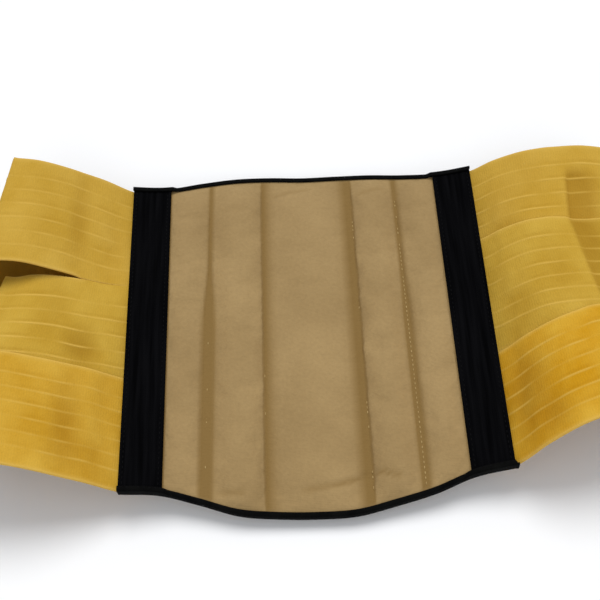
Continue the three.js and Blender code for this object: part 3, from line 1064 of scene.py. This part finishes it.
def bandPath(band):
    sway, turn = pathProgress(band)
    farPlaces = lerp(band["farPlace"] + sway * band["sway"] * band["width"], band["floorPlace"], turn)
    nearPlaces = farPlaces - band["width"] + band.get("tuck", 0) * np.sin(math.pi * turn)
    path = {"side": band["side"]}
    for side, places in (("far", farPlaces), ("near", nearPlaces)):
        edge = band[side]
        path[side] = edgeUnder(band, edge, places) if "under" in edge else freeEdge(band, edge, places)
    return path


def bandColumns(band):
    # Places across a band, close together at each rib
    width, (first, pitch, _) = band["width"], band["ribs"]
    ribs = first + np.arange(bandCloth["ribCount"]) * pitch
    ribs = ribs[ribs < width - 4]
    half = bandCloth["ribHalf"]
    radius = bandCloth["thickness"] / 2
    places = [radius, radius + 0.5, radius + 1, width - radius - 1, width - radius - 0.5, width - radius]
    places += list(np.linspace(radius + 1, ribs[0] - 2 * half, 6)[1:-1])
    if width - radius - 1 - ribs[-1] - 2 * half > 2:
        places += list(np.linspace(ribs[-1] + 2 * half, width - radius - 1, 6)[1:-1])
    for rib in ribs:
        places += list(rib + half * np.array([-2, -1.3, -0.8, -0.4, 0, 0.4, 0.8, 1.3, 2]))
    for rib in ribs[:-1]:
        places += list(np.linspace(rib + 2 * half, rib + pitch - 2 * half, 6)[1:-1])
    return np.sort(np.array(places)), ribs


def bandRows(path):
    # Lengths along a band's middle, then rows an even step apart, as lengths and as shares of its path
    fineT = np.linspace(0, 1, 800)
    lengths = lengthsAlong(pathPoint(path, fineT, np.full_like(fineT, 0.5)))
    along = np.linspace(0, lengths[-1], int(lengths[-1] / bandCloth["stepLength"]) + 1)
    return lengths, along, np.interp(along, lengths, fineT)


def ribMarks(band, places, ribs, along, random):
    # How far each rib shows along its length, and the shadow painted beside it
    nothing = np.zeros_like(along)
    rib = paintedShade = np.zeros((len(along), len(places)))
    half, shadow = bandCloth["ribHalf"], bandCloth["ribShadow"]
    for place in ribs:
        strength = 0.5 + 0.55 * ripples(random, nothing, along, 7, 48, 14)
        strength = np.clip(strength, *bandCloth["ribStrength"])[:, None] * band["ribs"][2]
        rib = np.maximum(rib, bump(places - place, half) * strength)
        paintedShade = np.maximum(paintedShade, bump(places - place + shadow, shadow) * strength * bandCloth["ribShade"])
    return rib, paintedShade


def sewnEdge(band, places, along):
    # How far each point belongs to the edge that is sewn to its neighbour, and which edge that is
    which, width, length = band.get("sewnEdge", 0), band["width"], bandCloth["sewnLength"]
    sewn = 1 - smoothStep(length - 7, length, along[:, None])
    toSewnEdge = places if which > 0 else width - places
    return sewn * smoothStep(0.8, 0.97, toSewnEdge / width)[None, :] * abs(which), which


def bandSag(band, along, across):
    # How far the dents and creases sink the cloth
    sag = np.zeros_like(across)
    for alongAt, acrossAt, halfAlong, halfAcross, depth in band["dents"]:
        hollowAlong = bump(along[:, None] - alongAt, 1.6 * halfAlong)
        sag += depth * hollowAlong * bump(across - acrossAt, 1.6 * halfAcross)
    for start, depth, first, last in band.get("creases", []):
        drop = smoothStep(start, start + 4, along) * (1 - smoothStep(start + 7, start + 30, along))
        inside = smoothStep(first, first + 14, across) * (1 - smoothStep(last - 14, last, across))
        sag += depth * drop[:, None] * inside
    return sag


def makeBand(name, band):
    path = bandPath(band)
    bandPaths[name] = path
    width, thickness = band["width"], bandCloth["thickness"]
    places, ribs = bandColumns(band)
    lengths, along, t = bandRows(path)
    random = np.random.default_rng(bandCloth["seed"] + len(bandPaths))
    wander = bandCloth["ribWander"] * ripples(random, np.zeros_like(along), along, 5, 90, 30)[:, None]
    across = places[None, :] + wander * smoothStep(0, 8, np.minimum(places, width - places))[None, :]
    rib, paintedShade = ribMarks(band, places, ribs, along, random)
    sewn, whichEdge = sewnEdge(band, places, along)
    fromEdge = np.minimum(places - places[0], places[-1] - places)[None, :]
    selvedge = np.clip(1.4 - fromEdge / bandCloth["selvedge"], 0, 1) * bandCloth["selvedgeShade"] * (1 - sewn)
    across = across + bandCloth["sewnLap"] * sewn * whichEdge
    gridT = np.broadcast_to(t[:, None], across.shape)
    base = pathPoint(path, gridT, across / width)
    outward = pathNormal(path, gridT, across / width)
    sag = bandSag(band, along, across)
    # Painted shade in the dents and creases, darker where they sink further
    paintedShade = np.maximum(paintedShade, np.clip(sag * bandCloth["dentShade"], 0, 1))
    sideRandom = np.random.default_rng(bandCloth["seed"] + band["side"])
    soft = ripples(sideRandom, base[..., 0], base[..., 1], 8, 95, 36) * bandCloth["ripple"]
    loose = smoothStep(*bandCloth["looseFrom"], along) * (1 - smoothStep(*bandCloth["looseTo"], along))
    lift = (soft - sag) * loose[:, None] - bandCloth["outerDepth"]
    rings = stripRings(base + outward * lift[..., None], -outward, thickness)
    columns = len(places)
    rings[:, :columns] += outward * (bandCloth["ribHeight"] * rib)[..., None]
    rings[..., 2] = np.maximum(rings[..., 2], 0)
    # The marks lie on the outer face. The inside gets painted shade as dark as a deep dent's, and the thin
    # edges are light.
    ringMarks = {key: np.zeros(rings.shape[:2]) for key in ("rib", "paintedShade", "selvedge")}
    for key, values in (("rib", rib), ("paintedShade", paintedShade), ("selvedge", selvedge)):
        ringMarks[key][:, :columns] = values
    ringMarks["paintedShade"][:, columns + 3 : -3] = 1
    ringMarks["selvedge"][:, columns : columns + 3] = bandCloth["edgeShade"]
    ringMarks["selvedge"][:, -3:] = bandCloth["edgeShade"]
    piece = makePiece(
        name + "_band",
        rings.reshape(-1, 3),
        stripFaces(len(along), columns),
        "elastic_" + name,
        band["material"],
        stripCloth(across, along, thickness / 2),
        {key: values.ravel() for key, values in ringMarks.items()},
    )
    return piece


for bandName, bandSizes in bands.items():
    makeBand(bandName, bandSizes)
print("elastic bands made")

# Closure under the panel: a hook sheet pressed on a loop sheet


def makeClosureSheet(name, low, high, inset, material, node):
    width, height = closure["width"] - 2 * inset, closure["height"] - 2 * inset
    middle = beltCentre + np.array([0, closure["rise"], (low + high) / 2]) * mm
    scale = (width * mm, height * mm, (high - low) * mm)
    bpy.ops.mesh.primitive_cube_add(size=1, location=middle, scale=scale)
    piece = bpy.context.object
    piece.name = name
    bpy.ops.object.transform_apply(location=True, rotation=True, scale=True)
    bpy.ops.object.mode_set(mode="EDIT")
    bpy.ops.mesh.select_mode(type="EDGE")
    bpy.ops.mesh.select_all(action="DESELECT")
    bpy.ops.object.mode_set(mode="OBJECT")
    for edge in piece.data.edges:
        first, second = (piece.data.vertices[k].co for k in edge.vertices)
        edge.select = abs(first.z - second.z) > 0.5 * (high - low) * mm
    bpy.ops.object.mode_set(mode="EDIT")
    bpy.ops.mesh.bevel(offset=(closure["corner"] - inset) * mm, segments=8, affect="EDGES")
    bpy.ops.mesh.select_all(action="DESELECT")
    bpy.ops.object.mode_set(mode="OBJECT")
    rim = piece.modifiers.new("rim", "BEVEL")
    rim.width, rim.segments, rim.limit_method = 0.6 * mm, 3, "ANGLE"
    bpy.ops.object.modifier_apply(modifier="rim")
    piece.data.materials.clear()
    piece.data.materials.append(material)
    piece.data.shade_smooth()
    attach(piece, "root")
    if node:
        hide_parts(node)
    piece.select_set(False)
    return piece


makeClosureSheet("closure_hook_panel", 0, 2.3, 0, hookCloth, "closure_panel")
makeClosureSheet("closure_loop_panel", 2.5, 5, 1.5, loopCloth, None)
print("closure made")

# Floor, light and camera

# Lights are how strong, the direction that each shines from, and how wide it looks in degrees.
studio = {
    "floor": {"colour": (0.97, 0.97, 0.97, 1), "roughness": 0.9, "specular": 0.1},
    "skyColour": (0.95, 0.98, 1.03, 1),
    "skyStrength": 0.46,
    "keyLight": (1.9, (0.08, 0.78, 1.4), 33),
    "fillLight": (0.45, (0.1, -1.0, 0.9), 45),
}

view = {
    "azimuth": 3.03,
    "elevation": 58,
    "roll": -6.21,
    "distance": 684.548,
    "target": (-5.004, 25.368, 0),
    "lens": 63,
}


def makeFloor():
    bpy.ops.mesh.primitive_plane_add(size=60, location=(0, 0, 0))
    floor = bpy.context.object
    floor.name = "floor"
    floor.data.materials.append(startMaterial("paleFloor", studio["floor"])[0])
    floor.select_set(False)


def makeLight(name):
    strength, place, width = studio[name]
    bpy.ops.object.light_add(type="SUN", location=place)
    light = bpy.context.object
    light.name = name
    light.data.energy, light.data.angle = strength, math.radians(width)
    light.rotation_euler = (-Vector(place)).to_track_quat("-Z", "Y").to_euler()
    light.select_set(False)


def makeCamera():
    azimuth, elevation, roll = (math.radians(view[key]) for key in ("azimuth", "elevation", "roll"))
    level = math.cos(elevation)
    back = Vector((math.sin(azimuth) * level, -math.cos(azimuth) * level, math.sin(elevation)))
    right = Vector((math.cos(azimuth), math.sin(azimuth), 0))
    up = back.cross(right)
    turnedRight = math.cos(roll) * right + math.sin(roll) * up
    turnedUp = -math.sin(roll) * right + math.cos(roll) * up
    place = Vector(np.array(view["target"]) * mm + beltCentre) + back * view["distance"] * mm
    bpy.ops.object.camera_add()
    camera = bpy.context.object
    camera.data.lens, camera.data.sensor_width = view["lens"], 36
    camera.data.clip_start, camera.data.clip_end = 0.01, 50
    turned = Matrix((turnedRight, turnedUp, back)).transposed().to_4x4()
    camera.matrix_world = Matrix.Translation(place) @ turned
    bpy.context.scene.camera = camera
    camera.select_set(False)


makeFloor()
makeLight("keyLight")
makeLight("fillLight")
makeCamera()

world = bpy.data.worlds.new("studio")
world.use_nodes = True
world.node_tree.nodes["Background"].inputs["Color"].default_value = studio["skyColour"]
world.node_tree.nodes["Background"].inputs["Strength"].default_value = studio["skyStrength"]
bpy.context.scene.world = world
bpy.context.scene.view_settings.view_transform = "Standard"
print("studio made")

bpy.context.view_layer.update()
